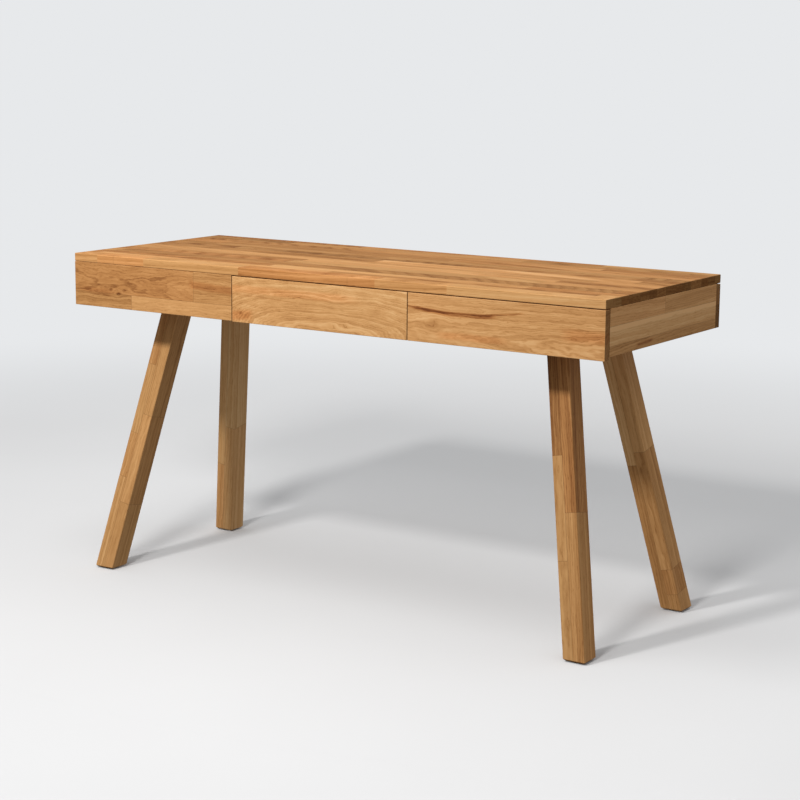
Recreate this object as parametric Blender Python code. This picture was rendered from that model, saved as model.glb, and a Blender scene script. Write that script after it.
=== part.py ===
"""Writing desk in solid oak: a shallow box with three handle-less drawers on four splayed legs.

Frame: origin on the floor under the middle of the desk, +X to the user's right, +Y towards the
back, +Z up. Metres throughout.

The box is a top, two sides, two partitions, a bottom and a back, all butt-jointed boards. Each
drawer is a five-board box behind an overlaid front, and it hangs on a pair of three-part ball
runners. Each leg is a square bar that leans outwards both ways, bolted up into from inside the box.
"""

import math

import bmesh
import bpy
from mathutils import Matrix, Vector

# ---- Overall size -------------------------------------------------------------------------
WIDTH = 1.400
DEPTH = 0.540
HEIGHT = 0.760

# ---- Clearances ---------------------------------------------------------------------------
SEAM = 0.0003            # between two pieces that touch
FRONT_TOP_GAP = 0.002    # shadow gap between the top and a drawer front
LEFT_FRONT_GAP = 0.0005  # the same over the left front, which sits higher than the others
FRONT_SIDE_GAP = 0.0016  # gap between two neighbouring drawer fronts
FRONT_REAR_GAP = 0.002   # gap between a closed front and the box behind it
BACK_TOP_GAP = 0.002     # shadow gap between the top and the back panel
BOLT_CLEARANCE = 0.0003  # round a bolt's shank

# ---- Boards of the box --------------------------------------------------------------------
TOP_THICKNESS = 0.019
SIDE_THICKNESS = 0.019
PARTITION_THICKNESS = 0.019
BOTTOM_THICKNESS = 0.019
BACK_THICKNESS = 0.020
BOX_HEIGHT = 0.098       # from the underside of the top to the underside of the box
FINGER_SPACE = 0.025     # how far the bottom stops short of the sides' front ends
BOARD_EDGE = 0.0010      # rounding along a board's edges
TOP_EDGE = 0.0015

# ---- Legs ---------------------------------------------------------------------------------
LEG_SECTION = 0.051
LEG_ROUNDING = 0.0022
LEG_TOP_FROM_END = 0.183    # leg's centre under the box, from the end of the desk
LEG_TOP_FROM_FRONT = 0.161  # the same from the front or the back edge
LEG_SPLAY_SIDEWAYS = math.radians(10.9)
LEG_SPLAY_LENGTHWAYS = math.radians(10.7)
FOOT_CHAMFER = 0.003
GLIDE_THICKNESS = 0.003
GLIDE_ROUNDING = 0.0007     # chamfer round the glide's sole
GLIDE_INSET = 0.0065        # glide's rim inside the leg's sides

# ---- Leg bolts ----------------------------------------------------------------------------
BOLT_RADIUS = 0.004
BOLT_IN_LEG = 0.040         # how deep a bolt goes into its leg
BOLT_SPACING = 0.024        # between the two bolts of a leg
BOLT_HOLE_SPARE = 0.004     # depth of the leg's hole past the bolt's tip
BOLT_TIP_CHAMFER = 0.001
FLANGE_RADIUS = 0.0095
FLANGE_THICKNESS = 0.0015   # where the hexagon starts
FLANGE_RIM = 0.0009         # at the flange's edge
HEX_ACROSS_FLATS = 0.013
HEX_HEIGHT = 0.006
HEX_CHAMFER = 0.0007

# ---- Drawer fronts ------------------------------------------------------------------------
DRAWERS = ("left", "middle", "right")
FRONT_THICKNESS = 0.018
FRONT_DROP = 0.006          # a front hangs this far below the box
FRONT_EDGE = 0.0010

# ---- Drawer boxes -------------------------------------------------------------------------
DRAWER_OVER_BOTTOM = 0.014  # drawer box's lower edge above the bottom panel
DRAWER_UNDER_TOP = 0.006    # drawer box's rim below the top
DRAWER_REAR_SPACE = 0.030   # at least this much stays free behind a drawer
DRAWER_BOARD = 0.012
DRAWER_BOTTOM_THICKNESS = 0.005
GROOVE_DEPTH = 0.006
GROOVE_HEIGHT_UP = 0.008    # lower side of the groove above the drawer board's lower edge
DRAWER_EDGE = 0.0008

# ---- Runners ------------------------------------------------------------------------------
RUNNER_STEP = 0.050         # stock lengths go up in steps of this
RUNNER_HEIGHT = 0.035
RUNNER_THICKNESS = 0.0127
RUNNER_SHEET = 0.0012       # thickness of the folded steel
BALL_SPACE = 0.0018         # room for the balls between two rails
RAIL_TIP_SPACE = 0.0012     # middle rail's flanges stop this short of the drawer
RUNNER_SETBACK = 0.002      # cabinet rail's front end behind the box's front edge

# ---- Colours: base colour, roughness, metallic --------------------------------------------
OAK_TOP = ((0.53, 0.29, 0.115), 0.48, 0.0)
OAK_BOX = ((0.48, 0.25, 0.095), 0.50, 0.0)
OAK_FRONT = ((0.55, 0.29, 0.115), 0.46, 0.0)
OAK_LEG = ((0.46, 0.24, 0.095), 0.50, 0.0)
OAK_DRAWER = ((0.56, 0.36, 0.18), 0.55, 0.0)
PLYWOOD = ((0.60, 0.43, 0.25), 0.60, 0.0)
ZINC_RAIL = ((0.62, 0.63, 0.65), 0.32, 1.0)
ZINC_BOLT = ((0.55, 0.56, 0.58), 0.36, 1.0)
FELT = ((0.09, 0.06, 0.045), 0.95, 0.0)

# ---- Places worked out from the sizes above -----------------------------------------------
LEFT = -WIDTH / 2
RIGHT = WIDTH / 2
FRONT = -DEPTH / 2
BACK = DEPTH / 2
TOP_UNDERSIDE = HEIGHT - TOP_THICKNESS
BOX_UNDERSIDE = TOP_UNDERSIDE - BOX_HEIGHT
BOX_FLOOR = BOX_UNDERSIDE + BOTTOM_THICKNESS
BOX_FRONT = FRONT + FRONT_THICKNESS + FRONT_REAR_GAP
BOX_BACK = BACK - BACK_THICKNESS - SEAM
FRONT_PITCH = WIDTH / len(DRAWERS)
FRONT_HEIGHT = BOX_HEIGHT + FRONT_DROP - FRONT_TOP_GAP
RUNNER_SPACE = RUNNER_THICKNESS + 2 * SEAM
DRAWER_LOW = BOX_FLOOR + DRAWER_OVER_BOTTOM
DRAWER_HIGH = TOP_UNDERSIDE - DRAWER_UNDER_TOP
DRAWER_START = FRONT + FRONT_THICKNESS + SEAM
DRAWER_LENGTH = math.floor((BOX_BACK - DRAWER_REAR_SPACE - DRAWER_START) / RUNNER_STEP) * RUNNER_STEP
RUNNER_MIDDLE = (DRAWER_LOW + DRAWER_HIGH) / 2
CIRCLE_POINTS = 24
SHARP_ANGLE = math.radians(35)  # sharper folds than this get an edge, in shading and bevels


def clear_scene():
    for obj in list(bpy.data.objects):
        bpy.data.objects.remove(obj, do_unlink=True)


def material(name, finish):
    """One Principled material for each kind of surface, made once."""
    found = bpy.data.materials.get(name)
    if found:
        return found
    colour, roughness, metallic = finish
    made = bpy.data.materials.new(name)
    made.use_nodes = True
    made.diffuse_color = (*colour, 1.0)
    shader = made.node_tree.nodes["Principled BSDF"]
    shader.inputs["Base Color"].default_value = (*colour, 1.0)
    shader.inputs["Roughness"].default_value = roughness
    shader.inputs["Metallic"].default_value = metallic
    return made


def add_object(name, bm, finish_name, finish, place, parent=None):
    """Turns a bmesh, drawn about `place`, into a named object that stands at `place`."""
    bmesh.ops.recalc_face_normals(bm, faces=bm.faces)
    mesh = bpy.data.meshes.new(name)
    bm.to_mesh(mesh)
    bm.free()
    mesh.materials.append(material(finish_name, finish))
    obj = bpy.data.objects.new(name, mesh)
    bpy.context.scene.collection.objects.link(obj)
    obj.location = place
    if parent:
        obj.parent = parent
        obj.location = Vector(place) - parent.location
    return obj


def add_empty(name, place):
    empty = bpy.data.objects.new(name, None)
    empty.empty_display_size = 0.05
    empty.location = place
    bpy.context.scene.collection.objects.link(empty)
    return empty


def round_edges(obj, width, segments):
    bevel = obj.modifiers.new("eased_edges", "BEVEL")
    bevel.width = width
    bevel.segments = segments
    bevel.limit_method = "ANGLE"
    bevel.angle_limit = SHARP_ANGLE
    bevel.use_clamp_overlap = True


def board(name, low, high, kind, edge=BOARD_EDGE, parent=None):
    """A flat board between two opposite corners. Thick edges are rounded, thin ones chamfered."""
    low = Vector(low)
    high = Vector(high)
    bm = bmesh.new()
    bmesh.ops.create_cube(bm, size=1.0)
    bmesh.ops.transform(bm, matrix=Matrix.Diagonal((*(high - low), 1.0)), verts=bm.verts)
    obj = add_object(name, bm, *kind, (low + high) / 2, parent)
    round_edges(obj, edge, 2 if edge >= BOARD_EDGE else 1)
    return obj


def prism(name, outline, axis, low, high, kind, edge=0.0, parent=None):
    """A constant outline pushed along X or Y. The outline gives (y, z) or (x, z) in the world."""
    centre = (low + high) / 2
    across = sum(point[0] for point in outline) / len(outline)
    up = sum(point[1] for point in outline) / len(outline)
    place = Vector((centre, across, up)) if axis == "X" else Vector((across, centre, up))
    bm = bmesh.new()
    ends = []
    for along in (low, high):
        ring = []
        for a, b in outline:
            point = Vector((along, a, b)) if axis == "X" else Vector((a, along, b))
            ring.append(bm.verts.new(point - place))
        ends.append(ring)
    bridge(bm, ends)
    obj = add_object(name, bm, *kind, place, parent)
    if edge:
        round_edges(obj, edge, 1)
    return obj


def bridge(bm, rings):
    """Joins rings of equally many vertices with quads and closes both ends."""
    count = len(rings[0])
    for ring, following in zip(rings, rings[1:]):
        for i in range(count):
            j = (i + 1) % count
            bm.faces.new((ring[i], ring[j], following[j], following[i]))
    bm.faces.new(rings[0])
    bm.faces.new(rings[-1])


def loft(name, rings, kind, place, parent=None):
    bm = bmesh.new()
    bridge(bm, [[bm.verts.new(point) for point in ring] for ring in rings])
    obj = add_object(name, bm, *kind, place, parent)
    obj.data.shade_smooth()
    obj.data.set_sharp_from_angle(angle=SHARP_ANGLE)
    return obj


def circle(radius, z):
    steps = (2 * math.pi * i / CIRCLE_POINTS for i in range(CIRCLE_POINTS))
    return [Vector((radius * math.cos(t), radius * math.sin(t), z)) for t in steps]


def hexagon(across_flats, z):
    """A hexagon with as many points as a circle has, so that the two can be lofted."""
    points = []
    for i in range(CIRCLE_POINTS):
        t = 2 * math.pi * i / CIRCLE_POINTS
        from_flat = (t + math.pi / 6) % (math.pi / 3) - math.pi / 6
        radius = across_flats / 2 / math.cos(from_flat)
        points.append(Vector((radius * math.cos(t), radius * math.sin(t), z)))
    return points


def rounded_square(side, radius, segments=2):
    """Outline of a square with rounded corners, counter-clockwise."""
    points = []
    inner = side / 2 - radius
    for corner, (sx, sy) in enumerate(((1, 1), (-1, 1), (-1, -1), (1, -1))):
        for step in range(segments + 1):
            t = math.pi / 2 * (corner + step / segments)
            points.append((sx * inner + radius * math.cos(t), sy * inner + radius * math.sin(t)))
    return points


def cut(target, cutter_parts, name):
    """Cuts vertical holes, given as (centre, radius, low, high), out of a piece."""
    bm = bmesh.new()
    for centre, radius, low, high in cutter_parts:
        rings = []
        for z in (low, high):
            rings.append([bm.verts.new(p + Vector(centre).to_3d()) for p in circle(radius, z)])
        bridge(bm, rings)
    cutter = add_object(name, bm, "cutter", FELT, (0.0, 0.0, 0.0))
    cutter.hide_render = True
    cutter.display_type = "WIRE"
    boolean = target.modifiers.new("bolt_holes", "BOOLEAN")
    boolean.operation = "DIFFERENCE"
    boolean.solver = "EXACT"
    boolean.object = cutter


# ---- Legs ---------------------------------------------------------------------------------
def leg_corners():
    """(name, sideways sign, lengthways sign) of the four legs."""
    return (
        ("front_left", -1, -1),
        ("front_right", 1, -1),
        ("back_left", -1, 1),
        ("back_right", 1, 1),
    )


def leg_top(sx, sy):
    return Vector((sx * (RIGHT - LEG_TOP_FROM_END), sy * (BACK - LEG_TOP_FROM_FRONT), BOX_UNDERSIDE))


def leg_direction(sx, sy):
    """Unit vector up the leg, from its foot to its top."""
    run = Vector((-sx * math.tan(LEG_SPLAY_SIDEWAYS), -sy * math.tan(LEG_SPLAY_LENGTHWAYS), 1.0))
    return run.normalized()


def leg_ring(up, side, level):
    """The leg's section where it crosses the horizontal plane at `level` below its top."""
    turn = Vector((0, 0, 1)).rotation_difference(up)
    ring = []
    for u, v in rounded_square(side, LEG_ROUNDING):
        corner = turn @ Vector((u, v, 0.0))
        ring.append(corner + up * ((level - corner.z) / up.z))
    return ring


def bolt_places(sx, sy):
    """(name, x, y) of a leg's two bolts. They stand upright, side by side across the splay."""
    top = leg_top(sx, sy)
    up = leg_direction(sx, sy)
    middle = top - up * (BOLT_IN_LEG / 2 / up.z)
    across = Vector((sx, -sy, 0.0)).normalized() * BOLT_SPACING / 2
    return (("outer", middle.x + across.x, middle.y + across.y),
            ("inner", middle.x - across.x, middle.y - across.y))


def build_leg(name, sx, sy):
    kind = ("oak_legs", OAK_LEG)
    top = leg_top(sx, sy) - Vector((0, 0, SEAM))
    up = leg_direction(sx, sy)
    foot = GLIDE_THICKNESS + SEAM - top.z
    rings = [
        leg_ring(up, LEG_SECTION - 2 * FOOT_CHAMFER, foot),
        leg_ring(up, LEG_SECTION, foot + FOOT_CHAMFER),
        leg_ring(up, LEG_SECTION, 0.0),
    ]
    leg = loft(f"{name}_leg", rings, kind, top)
    depth = BOLT_IN_LEG + BOLT_HOLE_SPARE
    holes = [
        ((x, y), BOLT_RADIUS + BOLT_CLEARANCE, BOX_UNDERSIDE - depth, BOX_UNDERSIDE + SEAM)
        for _, x, y in bolt_places(sx, sy)
    ]
    cut(leg, holes, f"{name}_leg_hole_cutter")
    sole = top + up * (foot / up.z)
    radius = LEG_SECTION / 2 - GLIDE_INSET
    loft(
        f"{name}_foot_glide",
        [
            circle(radius - GLIDE_ROUNDING, 0.0),
            circle(radius, GLIDE_ROUNDING),
            circle(radius, GLIDE_THICKNESS),
        ],
        ("felt_glides", FELT),
        (sole.x, sole.y, 0.0),
    )


def build_bolts(name, sx, sy):
    """Flanged bolts that stand on the bottom panel and reach down into the leg."""
    tip = -(BOTTOM_THICKNESS + SEAM + BOLT_IN_LEG)
    rings = [
        circle(BOLT_RADIUS - BOLT_TIP_CHAMFER, tip),
        circle(BOLT_RADIUS, tip + BOLT_TIP_CHAMFER),
        circle(BOLT_RADIUS, 0.0),
        circle(FLANGE_RADIUS, 0.0),
        circle(FLANGE_RADIUS, FLANGE_RIM),
        hexagon(HEX_ACROSS_FLATS, FLANGE_THICKNESS),
        hexagon(HEX_ACROSS_FLATS, FLANGE_THICKNESS + HEX_HEIGHT - HEX_CHAMFER),
        circle(HEX_ACROSS_FLATS / 2 - HEX_CHAMFER, FLANGE_THICKNESS + HEX_HEIGHT),
    ]
    for place, x, y in bolt_places(sx, sy):
        loft(f"{name}_leg_bolt_{place}", rings, ("zinc_bolts", ZINC_BOLT), (x, y, BOX_FLOOR + SEAM))


# ---- Box ----------------------------------------------------------------------------------
def build_box():
    kind = ("oak_box", OAK_BOX)
    wall_low = BOX_UNDERSIDE
    wall_high = TOP_UNDERSIDE - SEAM
    board("top_panel", (LEFT, FRONT, TOP_UNDERSIDE), (RIGHT, BACK, HEIGHT), ("oak_top", OAK_TOP), TOP_EDGE)
    for name, outer in (("left_side_panel", LEFT), ("right_side_panel", RIGHT - SIDE_THICKNESS)):
        board(name, (outer, BOX_FRONT, wall_low), (outer + SIDE_THICKNESS, BOX_BACK, wall_high), kind)
    back_high = TOP_UNDERSIDE - BACK_TOP_GAP
    board("back_panel", (LEFT, BACK - BACK_THICKNESS, wall_low), (RIGHT, BACK, back_high), kind)
    inside_left = LEFT + SIDE_THICKNESS + SEAM
    bottom_low = (inside_left, BOX_FRONT + FINGER_SPACE, BOX_UNDERSIDE)
    bottom = board("bottom_panel", bottom_low, (-inside_left, BOX_BACK, BOX_FLOOR), kind)
    holes = []
    for _, sx, sy in leg_corners():
        for _, x, y in bolt_places(sx, sy):
            hole = BOLT_RADIUS + BOLT_CLEARANCE
            holes.append(((x, y), hole, BOX_UNDERSIDE - SEAM, BOX_FLOOR + SEAM))
    cut(bottom, holes, "bottom_panel_hole_cutter")
    for index, name in enumerate(("left_partition", "right_partition")):
        middle = LEFT + FRONT_PITCH * (index + 1)
        low = (middle - PARTITION_THICKNESS / 2, BOX_FRONT, BOX_FLOOR + SEAM)
        high = (middle + PARTITION_THICKNESS / 2, BOX_BACK, wall_high)
        board(name, low, high, kind)


# ---- Drawers ------------------------------------------------------------------------------
def compartment(index):
    """The clear space, low x and high x, that a drawer and its runners fill."""
    low = LEFT + FRONT_PITCH * index
    high = low + FRONT_PITCH
    low += SIDE_THICKNESS if index == 0 else PARTITION_THICKNESS / 2
    high -= SIDE_THICKNESS if index == len(DRAWERS) - 1 else PARTITION_THICKNESS / 2
    return low, high


def build_front(name, index, parent):
    """The overlaid front. End fronts run out to the desk's ends."""
    low = LEFT + FRONT_PITCH * index + (FRONT_SIDE_GAP / 2 if index > 0 else 0.0)
    high = LEFT + FRONT_PITCH * (index + 1) - (FRONT_SIDE_GAP / 2 if index < len(DRAWERS) - 1 else 0.0)
    top = TOP_UNDERSIDE - (LEFT_FRONT_GAP if index == 0 else FRONT_TOP_GAP)
    board(
        f"{name}_drawer_front",
        (low, FRONT, top - FRONT_HEIGHT),
        (high, FRONT + FRONT_THICKNESS, top),
        ("oak_fronts", OAK_FRONT),
        FRONT_EDGE,
        parent,
    )


def grooved_outline(face, inward):
    """Section of a drawer board whose inner face has the groove for the bottom."""
    inner = face + inward * DRAWER_BOARD
    groove = inner - inward * GROOVE_DEPTH
    groove_low = DRAWER_LOW + GROOVE_HEIGHT_UP
    groove_high = groove_low + DRAWER_BOTTOM_THICKNESS + 2 * SEAM
    return [
        (face, DRAWER_LOW),
        (inner, DRAWER_LOW),
        (inner, groove_low),
        (groove, groove_low),
        (groove, groove_high),
        (inner, groove_high),
        (inner, DRAWER_HIGH),
        (face, DRAWER_HIGH),
    ]


def build_drawer_box(name, index, parent):
    """Two sides, a sub-front and a back between them, and a bottom in grooves."""
    kind = ("oak_drawer_boxes", OAK_DRAWER)
    low, high = compartment(index)
    outer_left = low + RUNNER_SPACE
    outer_right = high - RUNNER_SPACE
    start = DRAWER_START
    end = start + DRAWER_LENGTH
    for side, face, inward in (("left", outer_left, 1), ("right", outer_right, -1)):
        outline = grooved_outline(face, inward)
        prism(f"{name}_drawer_{side}_side", outline, "Y", start, end, kind, DRAWER_EDGE, parent)
    inner_left = outer_left + DRAWER_BOARD + SEAM
    inner_right = outer_right - DRAWER_BOARD - SEAM
    prism(
        f"{name}_drawer_subfront",
        grooved_outline(start, 1),
        "X",
        inner_left,
        inner_right,
        kind,
        DRAWER_EDGE,
        parent,
    )
    bottom_low = DRAWER_LOW + GROOVE_HEIGHT_UP + SEAM
    bottom_high = bottom_low + DRAWER_BOTTOM_THICKNESS
    board(
        f"{name}_drawer_back",
        (inner_left, end - DRAWER_BOARD, bottom_high + SEAM),
        (inner_right, end, DRAWER_HIGH),
        kind,
        DRAWER_EDGE,
        parent,
    )
    into_groove = GROOVE_DEPTH - 2 * SEAM
    board(
        f"{name}_drawer_bottom",
        (inner_left - into_groove - SEAM, start + DRAWER_BOARD - into_groove, bottom_low),
        (inner_right + into_groove + SEAM, end, bottom_high),
        ("plywood_bottoms", PLYWOOD),
        DRAWER_EDGE / 2,
        parent,
    )


def channel(web, open_to, height, depth):
    """A C section: its web's outer face at x = web, its flanges reaching towards open_to."""
    half = height / 2
    tip = web + open_to * depth
    inner = web + open_to * RUNNER_SHEET
    return [
        (web, RUNNER_MIDDLE - half),
        (tip, RUNNER_MIDDLE - half),
        (tip, RUNNER_MIDDLE - half + RUNNER_SHEET),
        (inner, RUNNER_MIDDLE - half + RUNNER_SHEET),
        (inner, RUNNER_MIDDLE + half - RUNNER_SHEET),
        (tip, RUNNER_MIDDLE + half - RUNNER_SHEET),
        (tip, RUNNER_MIDDLE + half),
        (web, RUNNER_MIDDLE + half),
    ]


def build_runner(name, index, side, sign, drawer, middle):
    """Cabinet rail on the box, drawer rail on the drawer, and the middle rail between them.

    `sign` is the way from the box's wall to the drawer. The three C sections nest: the cabinet
    rail and the middle rail open towards the drawer, and the drawer rail opens back into them.
    """
    kind = ("zinc_runners", ZINC_RAIL)
    low, high = compartment(index)
    wall = (low if sign > 0 else high) + sign * SEAM
    drawer_face = wall + sign * RUNNER_THICKNESS
    nest = RUNNER_SHEET + BALL_SPACE
    start = BOX_FRONT + RUNNER_SETBACK
    end = start + DRAWER_LENGTH
    label = f"{name}_drawer_{side}_runner"
    cabinet_depth = RUNNER_THICKNESS - nest
    middle_height = RUNNER_HEIGHT - 2 * nest
    outline = channel(wall, sign, RUNNER_HEIGHT, cabinet_depth)
    prism(f"{label}_cabinet_rail", outline, "Y", start, end, kind)
    outline = channel(wall + sign * nest, sign, middle_height, cabinet_depth - RAIL_TIP_SPACE)
    prism(f"{label}_middle_rail", outline, "Y", start, end, kind, 0.0, middle)
    drawer_height = middle_height - 2 * nest
    drawer_depth = RUNNER_THICKNESS - 2 * nest
    outline = channel(drawer_face, -sign, drawer_height, drawer_depth)
    prism(f"{label}_drawer_rail", outline, "Y", start, end, kind, 0.0, drawer)


def build_drawer(index, name):
    low, high = compartment(index)
    axis = ((low + high) / 2, FRONT, RUNNER_MIDDLE)
    drawer = add_empty(f"{name}_drawer_slide", axis)
    middle = add_empty(f"{name}_runner_middle_slide", axis)
    build_front(name, index, drawer)
    build_drawer_box(name, index, drawer)
    build_runner(name, index, "left", 1, drawer, middle)
    build_runner(name, index, "right", -1, drawer, middle)


def main():
    clear_scene()
    build_box()
    for name, sx, sy in leg_corners():
        build_leg(name, sx, sy)
        build_bolts(name, sx, sy)
    for index, name in enumerate(DRAWERS):
        build_drawer(index, name)


main()
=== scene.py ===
"""Looks of the oak writing desk: procedural oak, plywood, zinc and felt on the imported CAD
parts, small fittings that the CAD leaves out, a pale studio floor, soft light and the camera."""

import math

import bmesh
import bpy
from mathutils import Matrix, Vector


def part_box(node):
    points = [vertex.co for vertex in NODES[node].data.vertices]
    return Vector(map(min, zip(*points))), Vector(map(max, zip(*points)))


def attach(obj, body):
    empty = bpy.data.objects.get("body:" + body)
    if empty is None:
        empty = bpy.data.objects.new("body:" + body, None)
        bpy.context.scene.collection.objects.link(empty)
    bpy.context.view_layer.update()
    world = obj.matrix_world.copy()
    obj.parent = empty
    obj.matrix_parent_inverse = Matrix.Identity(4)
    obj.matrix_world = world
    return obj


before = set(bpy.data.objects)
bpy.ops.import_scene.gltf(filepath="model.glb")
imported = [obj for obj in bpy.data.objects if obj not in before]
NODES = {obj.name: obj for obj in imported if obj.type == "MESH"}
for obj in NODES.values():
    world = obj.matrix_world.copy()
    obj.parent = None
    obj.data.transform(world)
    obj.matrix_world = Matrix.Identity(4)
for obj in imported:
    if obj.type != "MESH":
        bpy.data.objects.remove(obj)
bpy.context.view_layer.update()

SCENE = bpy.context.scene

# ---------------------------------------------------------------- node helpers


class Graph:
    """Short calls for building a node tree: every argument is a socket or a constant."""

    def __init__(self, tree):
        self.tree = tree

    def put(self, socket, value):
        if isinstance(value, bpy.types.NodeSocket):
            self.tree.links.new(value, socket)
        elif value is not None:
            socket.default_value = value

    def node(self, kind, inputs=(), **settings):
        made = self.tree.nodes.new(kind)
        for key, value in settings.items():
            setattr(made, key, value)
        for key, value in dict(inputs).items():
            self.put(made.inputs[key], value)
        return made

    def math(self, operation, a, b=None, c=None):
        made = self.node("ShaderNodeMath", operation=operation)
        for socket, value in zip(made.inputs, (a, b, c)):
            self.put(socket, value)
        return made.outputs[0]

    def add(self, a, b):
        return self.math("ADD", a, b)

    def sub(self, a, b):
        return self.math("SUBTRACT", a, b)

    def mul(self, a, b):
        return self.math("MULTIPLY", a, b)

    def mad(self, a, b, c):
        return self.math("MULTIPLY_ADD", a, b, c)

    def vector(self, operation, a, b=None, scale=None):
        made = self.node("ShaderNodeVectorMath", operation=operation)
        self.put(made.inputs[0], a)
        self.put(made.inputs[1], b)
        if scale is not None:
            self.put(made.inputs[3], scale)
        out = "Value" if operation in ("DOT_PRODUCT", "LENGTH", "DISTANCE") else "Vector"
        return made.outputs[out]

    def combine(self, x, y, z):
        return self.node("ShaderNodeCombineXYZ", {"X": x, "Y": y, "Z": z}).outputs[0]

    def separate(self, vector):
        return tuple(self.node("ShaderNodeSeparateXYZ", {"Vector": vector}).outputs)

    def ramp(self, value, low, high, out_low=0.0, out_high=1.0):
        """value from low..high to out_low..out_high, clamped and eased."""
        made = self.node(
            "ShaderNodeMapRange",
            {"Value": value, "From Min": low, "From Max": high, "To Min": out_low, "To Max": out_high},
            interpolation_type="SMOOTHSTEP",
        )
        return made.outputs["Result"]

    def noise(self, vector, detail=2.0, roughness=0.5, distortion=0.0):
        made = self.node(
            "ShaderNodeTexNoise",
            {
                "Vector": vector, "Scale": 1.0, "Detail": detail, "Roughness": roughness,
                "Distortion": distortion,
            },
            noise_dimensions="3D",
        )
        return made.outputs

    def noise_line(self, value, detail=2.0, roughness=0.5):
        made = self.node(
            "ShaderNodeTexNoise",
            {"W": value, "Scale": 1.0, "Detail": detail, "Roughness": roughness},
            noise_dimensions="1D",
        )
        return made.outputs[0]

    def dice(self, x, y, z):
        """A random value and colour for each point (x, y, z)."""
        point = self.combine(x, y, z)
        return self.node("ShaderNodeTexWhiteNoise", {"Vector": point}, noise_dimensions="3D").outputs

    # A Mix node keeps sockets for every data type: 4 and 5 are its vectors, 6 and 7 its colours.
    def mix_vector(self, factor, a, b):
        made = self.node("ShaderNodeMix", data_type="VECTOR")
        self.put(made.inputs[0], factor)
        self.put(made.inputs[4], a)
        self.put(made.inputs[5], b)
        return made.outputs[1]

    def mix_colour(self, factor, a, b, blend="MIX"):
        made = self.node("ShaderNodeMix", data_type="RGBA", blend_type=blend)
        self.put(made.inputs[0], factor)
        self.put(made.inputs[6], a)
        self.put(made.inputs[7], b)
        return made.outputs[2]

    def colours(self, value, stops):
        """A colour ramp through stops of (place, colour)."""
        made = self.node("ShaderNodeValToRGB", {"Fac": value})
        elements = made.color_ramp.elements
        while len(elements) < len(stops):
            elements.new(0.5)
        for element, (place, colour) in zip(elements, stops):
            element.position = place
            element.color = (*colour, 1.0)
        return made.outputs[0]


def new_group(name, inputs, outputs):
    """A node group with these (name, socket type) ports, as (tree, graph, its inputs, its output node)."""
    tree = bpy.data.node_groups.new(name, "ShaderNodeTree")
    for label, kind in inputs:
        tree.interface.new_socket(label, in_out="INPUT", socket_type=kind)
    for label, kind in outputs:
        tree.interface.new_socket(label, in_out="OUTPUT", socket_type=kind)
    graph = Graph(tree)
    return tree, graph, graph.node("NodeGroupInput").outputs, graph.node("NodeGroupOutput")


def use_group(graph, tree, inputs):
    """Puts a node group into a graph and gives its outputs."""
    made = graph.node("ShaderNodeGroup", node_tree=tree)
    for key, value in inputs.items():
        graph.put(made.inputs[key], value)
    return made.outputs


FLOAT, VECTOR, COLOUR = "NodeSocketFloat", "NodeSocketVector", "NodeSocketColor"

# ---------------------------------------------------------------- oak

OAK_STOPS = (
    (0.00, (0.100, 0.035, 0.011)),
    (0.25, (0.240, 0.098, 0.028)),
    (0.50, (0.450, 0.222, 0.075)),
    (0.75, (0.625, 0.342, 0.133)),
    (1.00, (0.770, 0.485, 0.225)),
)
RING = 0.0034                              # one year's growth, in metres
BANDS = 120.0                              # slow bands of years, per metre
RIPPLE_REACH = 0.008                       # how far small waves move the grain, at Wave 1
SWAY_REACH = 0.032                         # how far slow bends move it, at Wander 1
MIDDLE_LEVEL = 0.60                        # where plain oak sits on OAK_STOPS
END_GRAIN = (0.47, 0.43, 0.37, 1.0)        # multiplies the colour on the ends of a board
JOINT_COLOUR = (0.085, 0.036, 0.014, 1.0)
RUB_AND_HIGHLIGHT_COLOUR = (0.66, 0.40, 0.19, 1.0)
ROW_LINE = (0.0002, 0.0006)                # where a glue line between rows is dark, and where it ends
BUTT_LINE = (0.0002, 0.0007)               # the same for a butt joint
RANDOM_LINE = (0.0001, 0.0006)             # the same on a board of random staves
EDGE_RUB_AND_HIGHLIGHT = (0.0004, 0.0030)               # where the rubbed edge with its painted highlight is full, and where it ends


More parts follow.
